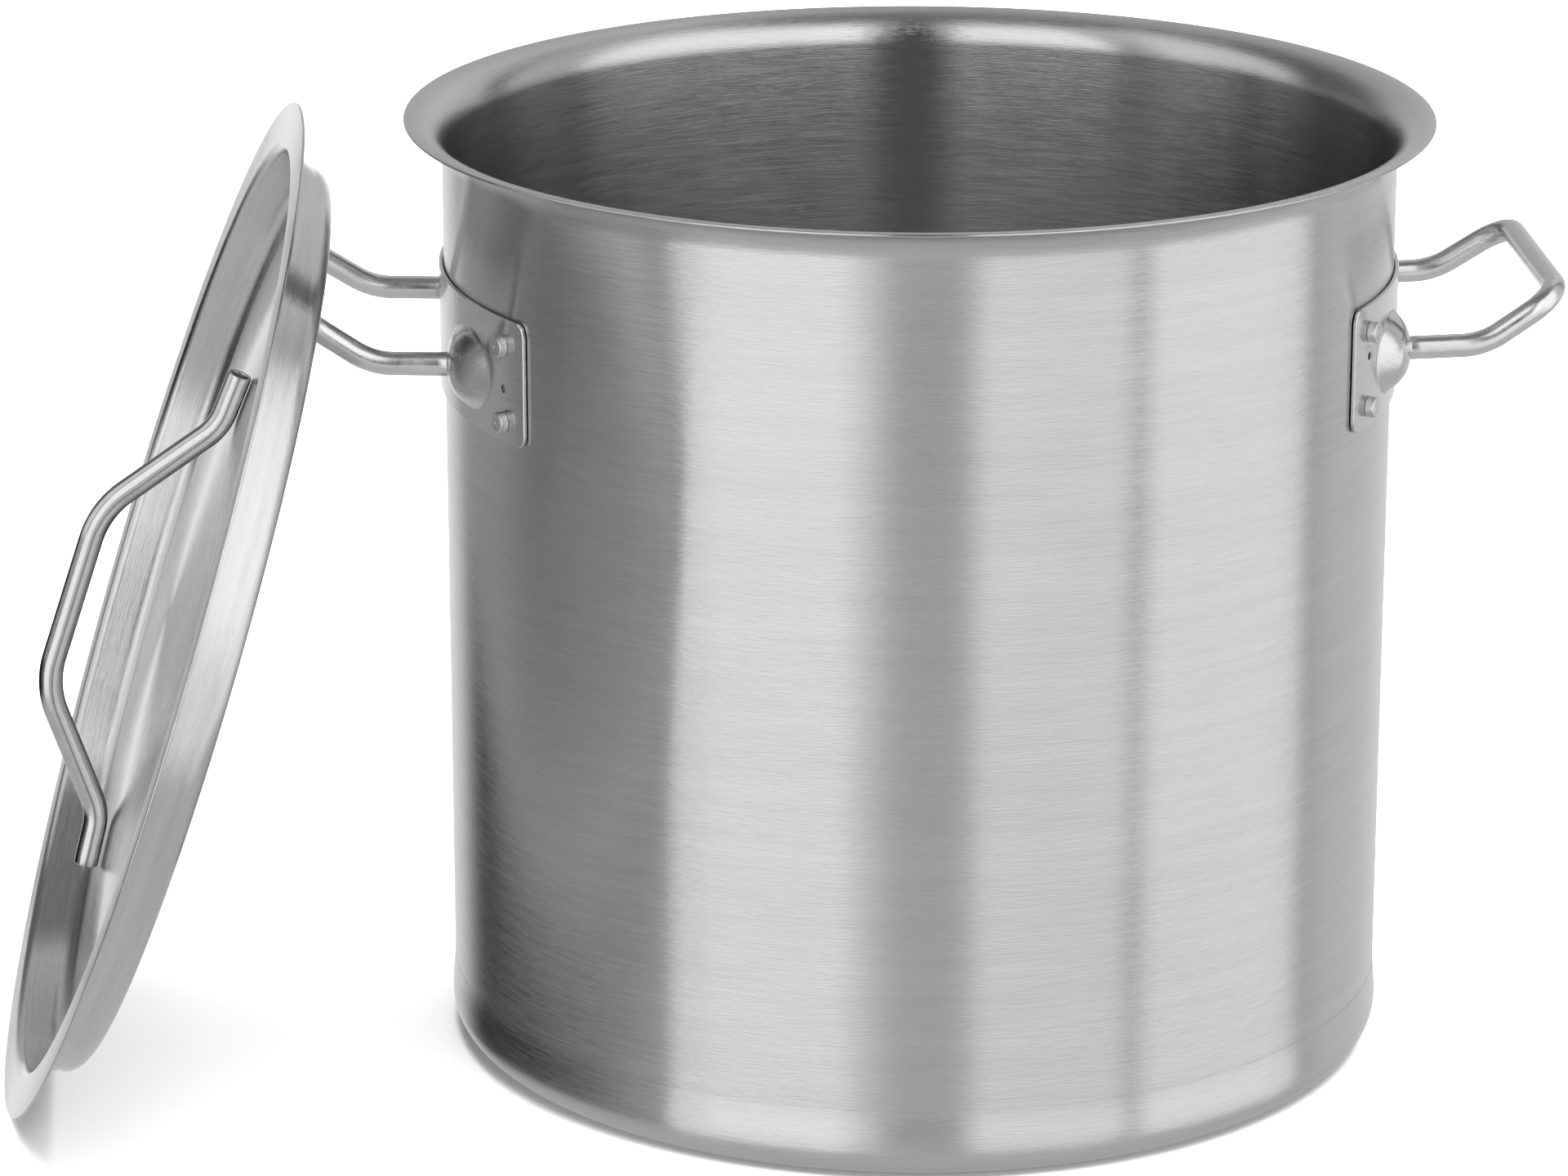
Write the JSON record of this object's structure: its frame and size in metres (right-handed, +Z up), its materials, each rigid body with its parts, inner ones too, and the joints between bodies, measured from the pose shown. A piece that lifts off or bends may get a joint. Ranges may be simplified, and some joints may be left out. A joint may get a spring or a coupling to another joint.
{
  "type": "stock pot",
  "caption": "Tall stainless steel stock pot with a sandwich base, riveted tube side handles and a recessed lid leaning on one handle.",
  "frame": {"origin": "centre of the pot's flat base, on the surface it stands on", "axes": "+Z up along the pot's axis, +X towards the right-hand handle; the lid leans on the left-hand handle"},
  "size_m": [0.5988, 0.4653, 0.3753],
  "materials": {
    "brushed_stainless": "fine circumferential brushing, satin",
    "satin_stainless": "satin polished tube",
    "bright_stainless": "fine brushed, brighter than the wall",
    "aluminium_core": "rolled, hidden between the pot and its base cap"
  },
  "bodies": {
    "pot": {"pot_body": "brushed_stainless", "base_core": "aluminium_core", "base_cap": "brushed_stainless", "bracket_left": "bright_stainless", "handle_left": "satin_stainless", "bracket_right": "bright_stainless", "handle_right": "satin_stainless", "rivet_left_1": "bright_stainless", "rivet_left_2": "bright_stainless", "rivet_left_3": "bright_stainless", "rivet_left_4": "bright_stainless", "rivet_right_1": "bright_stainless", "rivet_right_2": "bright_stainless", "rivet_right_3": "bright_stainless", "rivet_right_4": "bright_stainless"},
    "lid": {"lid_pan": "brushed_stainless", "lid_handle": "satin_stainless"}
  },
  "joints": [
    {"name": "lid_lift", "type": "slide", "parent": "pot", "child": "lid", "axis": [0, 0, 1], "range_m": [0, 0.4]}
  ]
}
